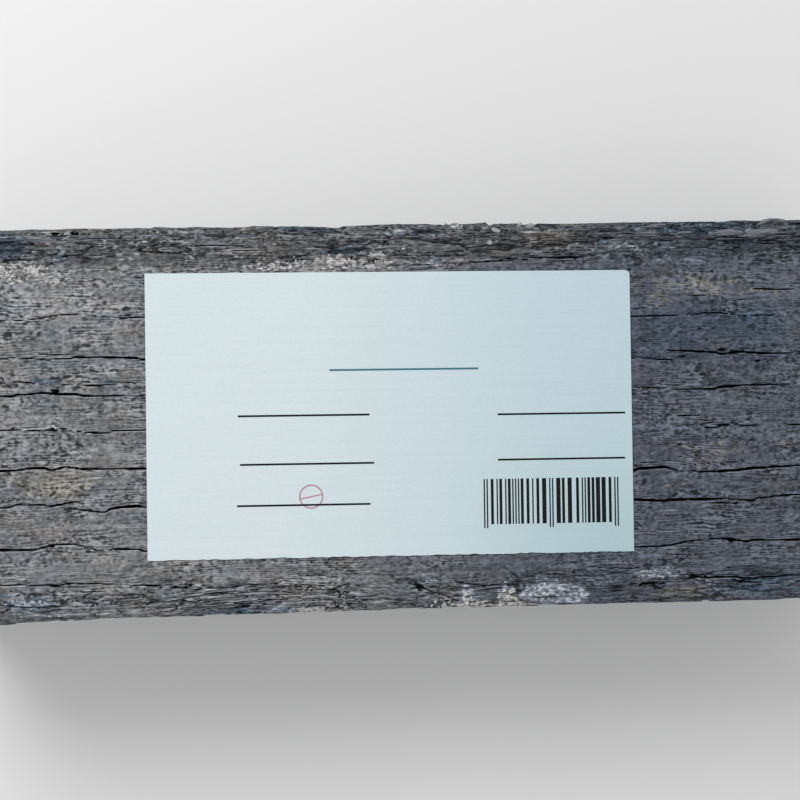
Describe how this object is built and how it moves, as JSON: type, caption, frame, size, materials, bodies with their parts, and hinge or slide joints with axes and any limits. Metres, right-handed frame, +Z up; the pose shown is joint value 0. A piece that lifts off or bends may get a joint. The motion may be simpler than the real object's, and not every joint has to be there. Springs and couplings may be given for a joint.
{
  "type": "timber cribbing block",
  "caption": "Rectangular block of oil-soaked sawn timber with worn arrises and drying checks, used to shore, crib or level loads, with a plain paper sheet on its wide face.",
  "frame": {"origin": "centre of the bottom wide face, the face that the block rests on", "axes": "+X along the grain and the block's length, +Y across the wide face, +Z up"},
  "size_m": [0.61, 0.22, 0.1603],
  "materials": {
    "timber": "weathered, oil-soaked, rough sawn",
    "paper": "matt printed paper"
  },
  "bodies": {
    "root": {"timber": "timber", "paper_sheet": "paper"}
  },
  "joints": []
}
